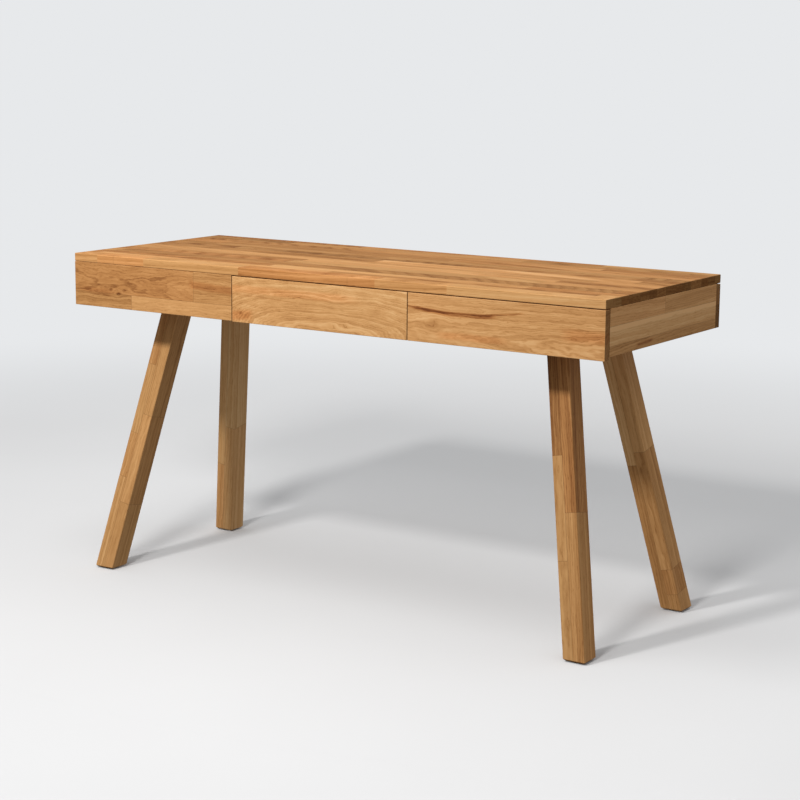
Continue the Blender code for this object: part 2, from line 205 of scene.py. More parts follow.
def make_oak_group():
    """Solid oak. Grain is a point with X along the grain, Y across the board's face and Z into it.
    Shade is tone, warmth and contrast; Figure is the pith's place across and in depth and its slope;
    Extra is the bow of the growth rings, a seed and where along the board the bow is centred.
    End is 1 on end grain; Wave and Wander say how much small waves and slow bends move the grain."""
    tree, g, inp, out = new_group(
        "oak_wood",
        [
            ("Grain", VECTOR), ("Shade", VECTOR), ("Figure", VECTOR), ("Extra", VECTOR),
            ("End", FLOAT), ("Wave", FLOAT), ("Wander", FLOAT),
        ],
        [("Color", COLOUR), ("Roughness", FLOAT), ("Height", FLOAT)],
    )
    tone, warmth, contrast = g.separate(inp["Shade"])
    pith_across, pith_depth, slope = g.separate(inp["Figure"])
    bow, seed, centre = g.separate(inp["Extra"])
    along, across, depth = g.separate(inp["Grain"])
    shift = g.vector("SCALE", (3.17, 1.71, 2.39), scale=seed)
    place = g.vector("ADD", inp["Grain"], shift)

    wander = g.noise(g.vector("MULTIPLY", place, (2.1, 8.0, 8.0)), 2.0, 0.5)
    ripple = g.noise(g.vector("MULTIPLY", place, (20.0, 58.0, 58.0)), 2.0, 0.55)
    wander_x, wander_y, wander_z = g.separate(g.vector("SUBTRACT", wander["Color"], (0.5, 0.5, 0.5)))
    ripple_x, ripple_y, ripple_z = g.separate(g.vector("SUBTRACT", ripple["Color"], (0.5, 0.5, 0.5)))
    wave = g.mul(inp["Wave"], RIPPLE_REACH)
    sway = g.mul(inp["Wander"], SWAY_REACH)

    run = g.sub(along, centre)
    rise = g.add(g.mul(run, slope), g.mul(g.mul(run, run), bow))
    side = g.add(g.sub(across, pith_across), g.mad(wander_y, sway, g.mul(ripple_y, wave)))
    deep = g.add(g.add(g.sub(depth, pith_depth), rise), g.mad(wander_z, sway, g.mul(ripple_z, wave)))
    radius = g.vector("LENGTH", g.combine(0.0, side, deep))

    # Growth rings: a dark, porous line where each year starts, and slower bands of years.
    phase = g.math("FRACT", g.mad(radius, 1 / RING, g.mul(ripple_x, 0.7)))
    early = g.ramp(phase, 0.0, 0.55, 1.0, 0.0)
    late = g.ramp(phase, 0.80, 1.0, 0.0, 1.0)
    ring = g.math("MAXIMUM", early, late)
    bands = g.sub(g.noise_line(g.mad(radius, BANDS, g.mul(seed, 7.3)), 3.0, 0.66), 0.5)

    # Fibres follow the warped grain.
    fibre_place = g.vector("ADD", g.combine(along, side, deep), shift)
    streak = g.noise(g.vector("MULTIPLY", fibre_place, (3.2, 130.0, 130.0)), 3.0, 0.62)
    fibre = g.noise(g.vector("MULTIPLY", fibre_place, (26.0, 620.0, 620.0)), 2.0, 0.6)
    pore = g.noise(g.vector("MULTIPLY", fibre_place, (55.0, 1500.0, 1500.0)), 0.0, 0.5)
    pores = g.mul(g.ramp(pore["Fac"], 0.60, 0.72), g.mad(ring, 0.75, 0.25))

    slow = g.mad(wander_x, g.mad(inp["Wander"], 0.40, 0.12), g.mul(ripple_x, g.mul(inp["Wave"], 0.18)))
    figure = g.add(g.mul(bands, 0.62), g.mul(g.sub(streak["Fac"], 0.5), 0.46))
    figure = g.add(figure, g.mad(ring, -0.085, slow))
    level = g.add(g.add(tone, MIDDLE_LEVEL), g.mul(figure, contrast))
    level = g.mad(g.sub(fibre["Fac"], 0.5), 0.20, level)
    level = g.mad(pores, -0.20, level)
    colour = g.colours(level, OAK_STOPS)

    # Warmth turns the tone from straw to reddish brown, and rises in the darker bands.
    heat = g.add(warmth, g.mul(wander_z, 0.5))
    tint = g.combine(g.mad(heat, 0.075, 1.0), g.mad(heat, -0.045, 1.0), g.mad(heat, -0.10, 1.0))
    colour = g.mix_colour(1.0, colour, tint, "MULTIPLY")
    ends = g.mix_colour(1.0, colour, END_GRAIN, "MULTIPLY")
    colour = g.mix_colour(inp["End"], colour, ends)

    rough = g.mad(fibre["Fac"], 0.16, g.mad(pores, 0.20, g.mad(ring, 0.04, 0.48)))
    height = g.add(g.mul(fibre["Fac"], 0.35), g.mad(pores, -1.0, g.mul(ring, -0.25)))
    g.put(out.inputs["Color"], colour)
    g.put(out.inputs["Roughness"], g.math("MINIMUM", g.mad(inp["End"], 0.14, rough), 0.95))
    g.put(out.inputs["Height"], height)
    return tree


def make_stave_group():
    """A board glued up from random staves: rows of one width, butt joints at random places along them."""
    tree, g, inp, out = new_group(
        "oak_staves",
        [("Grain", VECTOR), ("Width", FLOAT), ("Length", FLOAT), ("Seed", FLOAT), ("Spread", FLOAT)],
        [("Shade", VECTOR), ("Figure", VECTOR), ("Extra", VECTOR), ("Joint", FLOAT)],
    )
    along, across, _ = g.separate(inp["Grain"])
    # The rows' widths differ a little, and each row starts at a place of its own.
    v = g.math("DIVIDE", across, inp["Width"])
    v = g.add(v, g.mul(g.math("SINE", g.mad(v, 1.9, inp["Seed"])), 0.16))
    row = g.math("FLOOR", v)
    first = g.dice(row, inp["Seed"], 4.5)["Value"]
    u = g.add(g.math("DIVIDE", along, inp["Length"]), g.mul(first, 9.0))
    cell = g.math("FLOOR", u)
    pick = g.dice(row, cell, inp["Seed"])
    a, b, c = g.separate(pick["Color"])
    d = pick["Value"]
    tone = g.mul(g.sub(a, 0.5), inp["Spread"])
    g.put(out.inputs["Shade"], g.combine(tone, g.sub(b, 0.35), g.mad(c, 0.5, 0.7)))
    row_centre = g.mul(g.add(row, 0.5), inp["Width"])
    pith = g.add(row_centre, g.mul(g.sub(c, 0.5), 0.16))
    g.put(out.inputs["Figure"], g.combine(pith, g.mad(d, 0.06, 0.02), g.mul(g.sub(b, 0.5), 0.04)))
    bow = g.mul(g.sub(a, 0.6), 0.09)
    g.put(out.inputs["Extra"], g.combine(bow, g.mul(d, 9.0), g.mul(g.sub(b, 0.5), 1.2)))
    to_row = g.mul(g.math("PINGPONG", v, 0.5), inp["Width"])
    to_end = g.mul(g.math("PINGPONG", u, 0.5), inp["Length"])
    nearest = g.math("MINIMUM", g.ramp(to_row, *RANDOM_LINE), g.ramp(to_end, *RANDOM_LINE))
    g.put(out.inputs["Joint"], g.sub(1.0, nearest))
    return tree


def make_edge_group():
    """How near a point on a board's surface is to one of its edges, 1 at the edge and 0 from 3 mm in."""
    tree, g, inp, out = new_group(
        "board_edges", [("Point", VECTOR), ("Centre", VECTOR), ("Half", VECTOR)], [("Edge", FLOAT)]
    )
    inside = g.vector("ABSOLUTE", g.vector("SUBTRACT", inp["Point"], inp["Centre"]))
    a, b, c = g.separate(g.vector("SUBTRACT", inp["Half"], inside))
    # The distance to an edge is the second smallest of the distances to the faces.
    second = g.math("MAXIMUM", g.math("MINIMUM", a, b), g.math("MINIMUM", g.math("MAXIMUM", a, b), c))
    g.put(out.inputs["Edge"], g.ramp(second, *EDGE_RUB_AND_HIGHLIGHT, 1.0, 0.0))
    return tree


OAK = make_oak_group()
STAVES = make_stave_group()
EDGES = make_edge_group()


def stave(tone, warm, contrast, pith, slope, bow, seed, centre=0.0):
    """The look of one stave, as the three vectors that the oak group takes. pith is its place across
    the face and into the board, and bow bends the rings about centre, which is a place along the board."""
    return ((tone, warm, contrast), (pith[0], pith[1], slope), (bow, seed, centre))


def pick_stave(g, value, limit, below, above):
    """The stave on each side of a limit, whose values are sockets or constants."""
    factor = g.math("GREATER_THAN", value, limit)
    return tuple(g.mix_vector(factor, a, b) for a, b in zip(below, above))


def laid_out(g, along, across, rows):
    """Staves given one by one, in rows of (upper limit across, [(upper limit along, stave), ...]), where
    the last limits are None. Gives the stave at the point and the mask of the joints."""
    joint = None
    result = None
    for v_limit, pieces in reversed(rows):
        row = None
        for u_limit, values in reversed(pieces):
            if row is None:
                row = values
            else:
                row = pick_stave(g, along, u_limit, values, row)
        if result is None:
            result = row
        else:
            result = pick_stave(g, across, v_limit, row, result)
            line = g.ramp(g.math("ABSOLUTE", g.sub(across, v_limit)), *ROW_LINE, 1.0, 0.0)
            joint = line if joint is None else g.math("MAXIMUM", joint, line)
    low = None
    for v_limit, pieces in rows:
        for u_limit, _ in pieces[:-1]:
            line = g.ramp(g.math("ABSOLUTE", g.sub(along, u_limit)), *BUTT_LINE, 1.0, 0.0)
            if low is not None:
                line = g.mul(line, g.math("GREATER_THAN", across, low))
            if v_limit is not None:
                line = g.mul(line, g.math("LESS_THAN", across, v_limit))
            joint = line if joint is None else g.math("MAXIMUM", joint, line)
        low = v_limit
    return result, joint


def window(g, value, low, high, soft):
    """1 between low and high, easing to 0 over soft on each side."""
    return g.mul(g.ramp(value, low - soft, low), g.ramp(value, high, high + soft, 1.0, 0.0))


class Board:
    """One oak board's material while it is built: its coordinates along, across and through the grain,
    and what knots and streaks add to its tone and warmth. wave and wander go to the oak group."""

    def __init__(self, name, node, along, across, through, wave=1.0, wander=1.0):
        self.material = bpy.data.materials.new(name)
        self.material.use_nodes = True
        tree = self.material.node_tree
        tree.nodes.clear()
        self.g = g = Graph(tree)
        coordinates = g.node("ShaderNodeTexCoord").outputs
        self.point = coordinates["Object"]
        axes = [Vector(axis) for axis in (along, across, through)]
        self.u, self.v, self.w = (g.vector("DOT_PRODUCT", self.point, tuple(axis)) for axis in axes)
        facing = g.vector("DOT_PRODUCT", coordinates["Normal"], tuple(axes[0]))
        self.end = g.ramp(g.math("ABSOLUTE", facing), 0.55, 0.85)
        self.node = node
        self.wave, self.wander = wave, wander
        self.shine = 0.12
        self.tone = self.heat = self.bulge = 0.0

    def random_staves(self, width, length, seed, spread):
        """Staves of this width and length, whose tones differ by up to spread."""
        inputs = {
            "Grain": self.g.combine(self.u, self.v, self.w),
            "Width": width, "Length": length, "Seed": seed, "Spread": spread,
        }
        made = use_group(self.g, STAVES, inputs)
        return (made["Shade"], made["Figure"], made["Extra"]), made["Joint"]

    def knot(self, u, v, size, strength=1.0):
        """A pin knot: a small dark eye that the grain flows round."""
        g = self.g
        du, dv = g.sub(self.u, u), g.sub(self.v, v)
        reach = g.vector("LENGTH", g.combine(g.mul(du, 0.55 / size), g.mul(dv, 1 / size), 0.0))
        flow = g.mul(dv, g.math("EXPONENT", g.mul(g.mul(reach, reach), -0.18)))
        self.bulge = g.add(self.bulge, g.mul(flow, -0.85))
        self.tone = g.add(self.tone, g.ramp(reach, 0.20, 1.60, -0.36 * strength, 0.0))

    def streak(self, u_range, curve, thickness, amount, warm, soft):
        """A mineral streak or a band of sapwood along v = curve(u), given as (u0, v0, rate, bend).
        It adds amount to the tone and warm to the warmth, and its ends fade over soft."""
        g = self.g
        u0, v0, rate, bend = curve
        run = g.sub(self.u, u0)
        middle = g.add(v0, g.add(g.mul(run, rate), g.mul(g.mul(run, run), bend)))
        rough = g.noise(g.vector("MULTIPLY", self.point, (24.0, 24.0, 60.0)), 2.0, 0.6)["Fac"]
        off = g.math("ABSOLUTE", g.add(g.sub(self.v, middle), g.mad(rough, 0.004, -0.002)))
        mask = g.ramp(off, thickness * 0.35, thickness * 1.15, 1.0, 0.0)
        mask = g.mul(mask, window(g, self.u, u_range[0], u_range[1], soft))
        mask = g.mul(mask, g.mad(rough, 0.9, 0.55))
        self.tone = g.mad(mask, amount, self.tone)
        self.heat = g.mad(mask, warm, self.heat)

    def finish(self, values, joint):
        """Joins the parts up into a shader and puts it on the board's node."""
        g = self.g
        shade, figure, extra = values
        shade = g.vector("ADD", shade, g.combine(self.tone, self.heat, 0.0))
        grain = g.combine(self.u, g.add(self.v, self.bulge), self.w)
        wood = use_group(
            g, OAK,
            {
                "Grain": grain, "Shade": shade, "Figure": figure, "Extra": extra,
                "End": self.end, "Wave": self.wave, "Wander": self.wander,
            },
        )
        low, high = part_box(self.node)
        edge = use_group(
            g, EDGES,
            {"Point": self.point, "Centre": tuple((low + high) / 2), "Half": tuple((high - low) / 2)},
        )["Edge"]
        # A lighter, patchy line along the edges: rubbed wear, and a painted highlight where a rounded edge
        # catches the light.
        edge_patchiness = g.noise(g.vector("MULTIPLY", self.point, (70.0, 70.0, 70.0)), 2.0, 0.6)["Fac"]
        rub_and_highlight = g.mul(edge, g.ramp(edge_patchiness, 0.35, 0.70, 0.10, 0.55))
        shaded, height = wood["Color"], wood["Height"]
        if joint is not None:
            shaded = g.mix_colour(g.mul(joint, 0.42), shaded, JOINT_COLOUR)
            height = g.mad(joint, -1.2, height)
        colour = g.mix_colour(g.mul(rub_and_highlight, 0.30), shaded, RUB_AND_HIGHLIGHT_COLOUR)
        rough = g.mad(rub_and_highlight, 0.10, wood["Roughness"])
        bump = g.node("ShaderNodeBump", {"Strength": 0.22, "Distance": 0.00018, "Height": height})
        shader = g.node(
            "ShaderNodeBsdfPrincipled",
            {"Base Color": colour, "Roughness": rough, "Normal": bump.outputs[0]},
        )
        shader.inputs["Specular IOR Level"].default_value = self.shine
        g.node("ShaderNodeOutputMaterial", {"Surface": shader.outputs[0]})
        wear(self.node, self.material)


def wear(node, material):
    """Puts one material on a CAD node."""
    mesh = NODES[node].data
    mesh.materials.clear()
    mesh.materials.append(material)


X, Y, Z = (1.0, 0.0, 0.0), (0.0, 1.0, 0.0), (0.0, 0.0, 1.0)


def minus(axis):
    return tuple(-value for value in axis)


def plain_board(node, along, across, through, width, length, seed, tone=0.0, warm=0.0, spread=0.22):
    """A board of random staves."""
    board = Board(f"oak_{node}", node, along, across, through)
    board.tone, board.heat = tone, warm
    values, joint = board.random_staves(width, length, seed, spread)
    board.finish(values, joint)


# stave() takes tone, warmth, contrast, pith, slope, bow, seed and centre, in metres where it is a length.
# Top: long straight staves. The front row also shows on the front edge, so its staves are listed one by
# one.
FRONT_ROW_EDGE = -0.2275
top = Board("oak_top_panel", "top_panel", X, Y, minus(Z), 0.14, 0.18)
values, joint = top.random_staves(0.041, 0.66, 3.0, 0.36)
top.tone, top.heat, top.shine = -0.02, 0.35, 0.03
front_row = (
    (-0.630, stave(0.14, 0.3, 1.0, (-0.20, 0.70), 0.04, 0.0, 2.1)),
    (-0.490, stave(0.11, 0.8, 1.1, (-0.24, 0.78), 0.04, 0.1, 5.2, -0.4)),
    (-0.215, stave(0.10, -0.1, 0.8, (-0.30, 0.72), 0.02, 0.0, 7.7)),
    (0.150, stave(0.02, 0.9, 1.3, (-0.25, 0.70), 0.04, 0.15, 4.4, 0.0)),
    (0.330, stave(0.12, 0.2, 0.9, (-0.25, 0.73), 0.03, 0.1, 8.1, 0.2)),
    (None, stave(0.23, -0.1, 0.9, (-0.30, 0.71), 0.02, 0.05, 9.3, 0.5)),
)
row, _ = laid_out(top.g, top.u, top.v, [(None, front_row)])
values = pick_stave(top.g, top.v, FRONT_ROW_EDGE, row, values)
top.finish(values, joint)

# Left front: curly upper stave with pin knots, a reddish band in the one beside it, a pale one below.
left = Board("oak_left_drawer_front", "left_drawer_front", X, Z, Y, 1.5, 0.5)
for u, v, size, strength in (
    (-0.588, 0.6815, 0.0034, 0.5), (-0.566, 0.6735, 0.0042, 0.7), (-0.606, 0.6865, 0.0026, 0.4),
    (-0.548, 0.6825, 0.0030, 0.5), (-0.632, 0.6770, 0.0024, 0.3), (-0.575, 0.6890, 0.0022, 0.3),
):
    left.knot(u, v, size, strength)
left.streak((-0.34, -0.22), (-0.30, 0.7085, -0.05, 0.0), 0.0110, -0.13, 0.9, 0.02)
left.streak((-0.66, -0.60), (-0.63, 0.675, -0.05, 0.0), 0.0090, -0.08, 0.4, 0.03)
values, joint = laid_out(left.g, left.u, left.v, [
    (0.6720, [
        (-0.5270, stave(-0.03, 0.3, 0.75, (0.60, -0.20), 0.02, 0.0, 3.4, -0.6)),
        (None, stave(0.13, 0.3, 0.6, (0.60, -0.20), 0.03, 0.0, 6.1)),
    ]),
    (None, [
        (-0.3430, stave(-0.05, 0.7, 0.80, (0.70, -0.215), 0.02, 0.25, 2.2, -0.52)),
        (None, stave(-0.02, 0.3, 0.7, (0.62, -0.20), 0.02, 0.0, 8.6)),
    ]),
])
left.finish(values, joint)

# Middle front: a wide figure that peaks in the middle, over an eye at the lower edge.
middle = Board("oak_middle_drawer_front", "middle_drawer_front", X, Z, Y, 1.3, 0.42)
middle.streak((-0.235, -0.10), (-0.23, 0.7000, -0.03, -0.05), 0.0012, -0.14, 0.4, 0.06)
middle.streak((-0.235, -0.19), (-0.20, 0.655, 0.1, 0.0), 0.0130, -0.16, 1.2, 0.02)
middle.streak((-0.235, 0.05), (-0.20, 0.712, 0.0, 0.0), 0.0110, -0.02, 0.9, 0.08)
for u, v, size, strength in (
    (-0.209, 0.659, 0.0034, 0.6), (0.035, 0.650, 0.0060, 0.12),
    (0.075, 0.653, 0.0055, 0.15), (0.050, 0.722, 0.0070, 0.10),
):
    middle.knot(u, v, size, strength)
values, joint = laid_out(middle.g, middle.u, middle.v, [
    (None, [(None, stave(0.21, 0.30, 1.05, (0.636, -0.262), 0.00, -0.80, 5.5, 0.03))]),
])
middle.finish(values, joint)

# Right front: long fine lines that open to the right, and a dark mineral streak near the top left.
right = Board("oak_right_drawer_front", "right_drawer_front", X, Z, Y, 1.4, 0.35)
right.knot(0.300, 0.6780, 0.0090, 0.10)
right.streak((0.235, 0.50), (0.360, 0.7040, 0.01, 0.50), 0.0030, -0.28, 0.6, 0.02)
right.streak((0.265, 0.43), (0.366, 0.7010, 0.00, 0.60), 0.0052, -0.27, 1.0, 0.03)
right.streak((0.34, 0.44), (0.390, 0.6560, 0.0, 0.0), 0.0090, -0.04, 0.9, 0.05)
right.streak((0.63, 0.69), (0.660, 0.6820, 0.0, 0.0), 0.0150, -0.09, 0.9, 0.04)
values, joint = laid_out(right.g, right.u, right.v, [
    (None, [(None, stave(0.15, 0.45, 1.05, (0.655, -0.225), 0.035, 0.0, 4.9, 0.30))]),
])
right.finish(values, joint)

# Right side: butt joint in the top row, a band of sapwood, a dark bottom row.
side = Board("oak_right_side_panel", "right_side_panel", Y, Z, minus(X), 0.6, 0.5)
# The whole panel is a little lighter: painted light that makes up for the fill on this shaded side.
side.tone = 0.13
side.streak((-0.26, 0.00), (-0.14, 0.6985, 0.008, 0.0), 0.0056, 0.52, 0.5, 0.10)
side.streak((0.10, 0.27), (0.19, 0.6985, 0.0, 0.0), 0.0056, 0.44, 0.5, 0.06)
side.streak((-0.12, -0.07), (-0.09, 0.655, 0.05, 0.0), 0.0050, -0.20, 0.6, 0.02)
values, joint = laid_out(side.g, side.u, side.v, [
    (0.6640, [(None, stave(-0.13, 0.25, 0.9, (0.62, -0.64), 0.03, 0.0, 3.3))]),
    (0.7035, [(None, stave(0.10, 0.3, 0.8, (0.60, -0.62), 0.02, 0.0, 6.6))]),
    (None, [
        (-0.0030, stave(0.02, 0.6, 0.7, (0.80, -0.62), 0.02, 0.0, 1.9)),
        (None, stave(-0.03, 0.4, 0.7, (0.62, -0.60), 0.03, 0.0, 7.4)),
    ]),
])
side.finish(values, joint)

# Boards that the photograph doesn't show: axes, width and length of their staves, seed.
for node, along, across, through, width, length, seed in (
    ("left_side_panel", Y, Z, X, 0.040, 0.36, 11.0),
    ("back_panel", X, Z, Y, 0.043, 0.52, 12.0),
    ("bottom_panel", X, Y, Z, 0.043, 0.60, 13.0),
    ("left_partition", Y, Z, X, 0.040, 0.40, 14.0),
    ("right_partition", Y, Z, X, 0.040, 0.40, 15.0),
):
    plain_board(node, along, across, through, width, length, seed)

# Drawer boxes: plainer and paler oak.
DRAWER_STAVE, DRAWER_TONE, DRAWER_WARMTH, DRAWER_SPREAD = 0.080, 0.06, -0.3, 0.10
DRAWERS = ("left", "middle", "right")
for index, drawer in enumerate(DRAWERS):
    for number, (part, along, across, through, length) in enumerate((
        ("subfront", X, Z, Y, 0.60),
        ("back", X, Z, Y, 0.60),
        ("left_side", Y, Z, X, 0.70),
        ("right_side", Y, Z, X, 0.70),
    )):
        plain_board(
            f"{drawer}_drawer_{part}", along, across, through, DRAWER_STAVE, length,
            20.0 + 5 * index + number, DRAWER_TONE, DRAWER_WARMTH, DRAWER_SPREAD,
        )

# Legs: two staves side by side, with the grain along the leg and butt joints at places of their own.
# A stave is (length from the leg's top to its lower joint, tone, warmth); the last one runs to the foot.
LEG_STAVES = {
    "front_left_leg": (
        ((0.160, 0.01, 0.4), (0.330, 0.06, 0.0), (0.440, 0.02, 0.4), (None, 0.10, 0.2)),
        ((0.280, 0.04, 0.1), (0.500, 0.04, 0.3), (None, 0.09, 0.2)),
    ),
    "front_right_leg": (
        ((0.240, -0.19, 0.3), (0.459, 0.04, 0.1), (None, 0.03, 0.0)),
        ((0.360, -0.12, 0.6), (None, 0.01, 0.1)),
    ),
    # The back legs' staves are lighter: painted light for the fill that reaches them in the box's shadow.
    "back_left_leg": (
        ((0.470, 0.19, 0.1), (None, 0.13, 0.5)),
        ((0.360, 0.30, 0.0), (None, 0.28, 0.2)),
    ),
    "back_right_leg": (
        ((0.310, 0.26, 0.1), (None, -0.03, 0.2)),
        ((0.280, 0.19, 0.2), (0.560, 0.02, 0.3), (0.620, -0.07, 0.5), (None, 0.01, 0.3)),
    ),
}
SPLAY_X, SPLAY_Y = math.tan(math.radians(10.9)), math.tan(math.radians(10.7))  # as in the CAD
LEG_WAVE, LEG_WANDER = 0.7, 0.4
LEG_GLUE_LINE = -0.0012                    # the line between the two rows, from the leg's middle


def leg_board(node, staves, number):
    """A leg of two rows of staves. It leans outwards, so its axes come from its box and its splay."""
    low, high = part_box(node)
    sx = 1 if low.x + high.x > 0 else -1
    sy = 1 if low.y + high.y > 0 else -1
    up = Vector((-sx * SPLAY_X, -sy * SPLAY_Y, 1.0)).normalized()
    turn = Vector(Z).rotation_difference(up)
    across, through = turn @ Vector(X), turn @ Vector(Y)
    middle = (low + high) / 2
    board = Board(f"oak_{node}", node, up, across, through, LEG_WAVE, LEG_WANDER)
    top_along = middle.dot(up) + (high.z - middle.z) / up.z
    at = (middle.dot(across), middle.dot(through))
    rows = []
    for row, pieces in enumerate(staves):
        row_staves = []
        for place, (length, tone, warm) in enumerate(pieces):
            seed = 3.0 * number + 1.7 * row + 1.1 * place
            swing = math.sin(2.4 * seed)
            slope = 0.012 * math.cos(3.3 * seed)
            # The pith lies beside the stave, also where the swing is 0.
            pith = (at[0] + 0.07 * (swing or 1.0), at[1] + 0.05 + 0.02 * math.cos(5.1 * seed))
            values = stave(tone, warm, 0.9, pith, slope, 0.05 * swing, seed, top_along - 0.3)
            row_staves.append((length, values))
        limits = [None] + [top_along - length for length, _ in row_staves[:-1]]
        row_staves = [(limit, values) for limit, (_, values) in zip(limits, row_staves)]
        row_staves.reverse()
        rows.append(row_staves)
    board_rows = [(at[0] + LEG_GLUE_LINE, rows[0]), (None, rows[1])]
    values, joint = laid_out(board.g, board.u, board.v, board_rows)
    board.finish(values, joint)


for number, (node, staves) in enumerate(LEG_STAVES.items()):
    leg_board(node, staves, number)

# ---------------------------------------------------------------- other materials


def simple_material(name):
    """A new material, its empty graph and the point in world metres."""
    material = bpy.data.materials.new(name)
    material.use_nodes = True
    material.node_tree.nodes.clear()
    g = Graph(material.node_tree)
    return material, g, g.node("ShaderNodeTexCoord").outputs["Object"]


def close(g, inputs, **constants):
    """Ends a material in a shader. Constants go straight onto its sockets."""
    shader = g.node("ShaderNodeBsdfPrincipled", inputs)
    for key, value in constants.items():
        shader.inputs[key.replace("_", " ")].default_value = value
    g.node("ShaderNodeOutputMaterial", {"Surface": shader.outputs[0]})


def make_zinc():
    """Zinc-plated pressed steel: blue-grey, with a fine spangle, rolling lines and duller patches."""
    material, g, point = simple_material("zinc_steel")
    cells = g.node("ShaderNodeTexVoronoi", {"Vector": point, "Scale": 420.0})
    lines = g.noise(g.vector("MULTIPLY", point, (900.0, 14.0, 900.0)), 2.0, 0.6)["Fac"]
    cloud = g.noise(g.vector("SCALE", point, scale=38.0), 3.0, 0.6)["Fac"]
    spangle = g.separate(cells.outputs["Color"])[0]
    level = g.add(g.mul(spangle, 0.25), g.add(g.mul(lines, 0.30), g.mul(cloud, 0.45)))
    greys = ((0.2, (0.34, 0.36, 0.38)), (0.5, (0.52, 0.54, 0.56)), (0.8, (0.66, 0.67, 0.68)))
    colour = g.colours(level, greys)
    rough = g.mad(cloud, 0.25, g.mad(lines, 0.12, 0.20))
    bump = g.node("ShaderNodeBump", {"Strength": 0.12, "Distance": 0.0001, "Height": g.add(lines, cloud)})
    close(g, {"Base Color": colour, "Roughness": rough, "Normal": bump.outputs[0]}, Metallic=1.0)
    return material


def make_felt():
    """Grey-brown pressed felt."""
    material, g, point = simple_material("felt")
    fibres = g.noise(g.vector("SCALE", point, scale=1400.0), 4.0, 0.7, 1.5)["Fac"]
    cloud = g.noise(g.vector("SCALE", point, scale=160.0), 2.0, 0.6)["Fac"]
    level = g.add(g.mul(fibres, 0.7), g.mul(cloud, 0.3))
    colour = g.colours(level, ((0.25, (0.030, 0.026, 0.022)), (0.75, (0.105, 0.092, 0.080))))
    bump = g.node("ShaderNodeBump", {"Strength": 0.6, "Distance": 0.0004, "Height": fibres})
    close(
        g, {"Base Color": colour, "Roughness": g.mad(fibres, 0.08, 0.88), "Normal": bump.outputs[0]},
        Sheen_Weight=0.25, Specular_IOR_Level=0.2,
    )
    return material


PLY = 0.0012                               # one layer of the plywood


def make_plywood():
    """Birch plywood: pale rotary-cut face, and thin glued layers where its edge shows."""
    material, g, point = simple_material("birch_plywood")
    warp = g.noise(g.vector("MULTIPLY", point, (6.0, 1.6, 6.0)), 3.0, 0.55)
    wave = g.mul(g.sub(g.separate(warp["Color"])[0], 0.5), 0.06)
    x, _, z = g.separate(point)
    bands = g.noise_line(g.mul(g.add(x, wave), 70.0), 3.0, 0.6)
    fibre = g.noise(g.vector("MULTIPLY", point, (700.0, 22.0, 700.0)), 2.0, 0.6)["Fac"]
    layer = g.math("PINGPONG", g.mul(z, 1 / PLY), 0.5)
    normal = g.node("ShaderNodeTexCoord").outputs["Normal"]
    flat = g.ramp(g.math("ABSOLUTE", g.separate(normal)[2]), 0.4, 0.8)
    level = g.add(g.mul(bands, 0.6), g.mul(fibre, 0.4))
    face = ((0.2, (0.50, 0.34, 0.19)), (0.5, (0.66, 0.48, 0.30)), (0.8, (0.76, 0.59, 0.40)))
    plies = ((0.05, (0.20, 0.11, 0.05)), (0.2, (0.52, 0.35, 0.20)), (0.5, (0.66, 0.48, 0.30)))
    colour = g.mix_colour(flat, g.colours(layer, plies), g.colours(level, face))
    bump = g.node("ShaderNodeBump", {"Strength": 0.15, "Distance": 0.0002, "Height": fibre})
    close(g, {"Base Color": colour, "Roughness": g.mad(fibre, 0.2, 0.5), "Normal": bump.outputs[0]})
    return material


ZINC, FELT, PLYWOOD = make_zinc(), make_felt(), make_plywood()
for name in NODES:
    if name.endswith("_rail") or "_leg_bolt_" in name:
        wear(name, ZINC)
    elif name.endswith("_foot_glide"):
        wear(name, FELT)
    elif name.endswith("_drawer_bottom"):
        wear(name, PLYWOOD)

# ---------------------------------------------------------------- small fittings

RAIL_SHEET = 0.0012                        # the runners' folded steel, as in the CAD
BALL_CLEARANCE = 0.00008
CAGE_HALF_WIDTH, CAGE_PITCH = 0.0022, 0.0125
CAGE_STEPS = 6                             # points along the cage's edge for each ball
CAGE_OUTER_END, CAGE_INNER_END = 0.02, 0.03

# Shares of a screw head's radius and height: its profile, then the arms and levels of its cross recess.
SCREW_SEGMENTS = 16
SCREW_PROFILE = ((1.0, 0.0), (1.0, 0.22), (0.90, 0.62), (0.62, 0.94))
RECESS_ARMS = (0.44, 0.17, 0.15, 0.17)
RECESS_DEPTHS = ((1.0, 1.0), (0.62, 0.45))
DOT_SEGMENTS = 20
DOT_PROFILE = ((1.0, 0.0), (1.0, 0.45), (0.82, 0.85), (0.45, 1.0))

# (radius, height) of each kind of head.
CABINET_RAIL_SCREW, DRAWER_RAIL_SCREW = (0.0034, 0.0013), (0.0034, 0.0018)
FRONT_SCREW, BOTTOM_SCREW, PARTITION_SCREW = (0.0042, 0.0024), (0.0030, 0.0014), (0.0042, 0.0007)
STOP_DOT = (0.0032, 0.0016)
# Where they sit: shares of a rail, a bottom's width and a partition's depth, then distances.
RAIL_SHARES = (0.12, 0.45, 0.88)
BOTTOM_SHARES = (0.06, 0.35, 0.65, 0.94)
PARTITION_SHARES = (0.10, 0.37, 0.63, 0.90)
FRONT_SCREW_FROM_END, FRONT_SCREW_FROM_EDGE = 0.045, 0.012
BOTTOM_SCREW_FROM_BACK = 0.006
DOT_OVER_MIDDLE = 0.012
DOT_ON_PANEL, DOT_ON_PARTITION = 0.0095, 0.0042
DESK_END = 0.69                            # a front's edge farther out than this is at the desk's end
SHARP_ANGLE = math.radians(35)


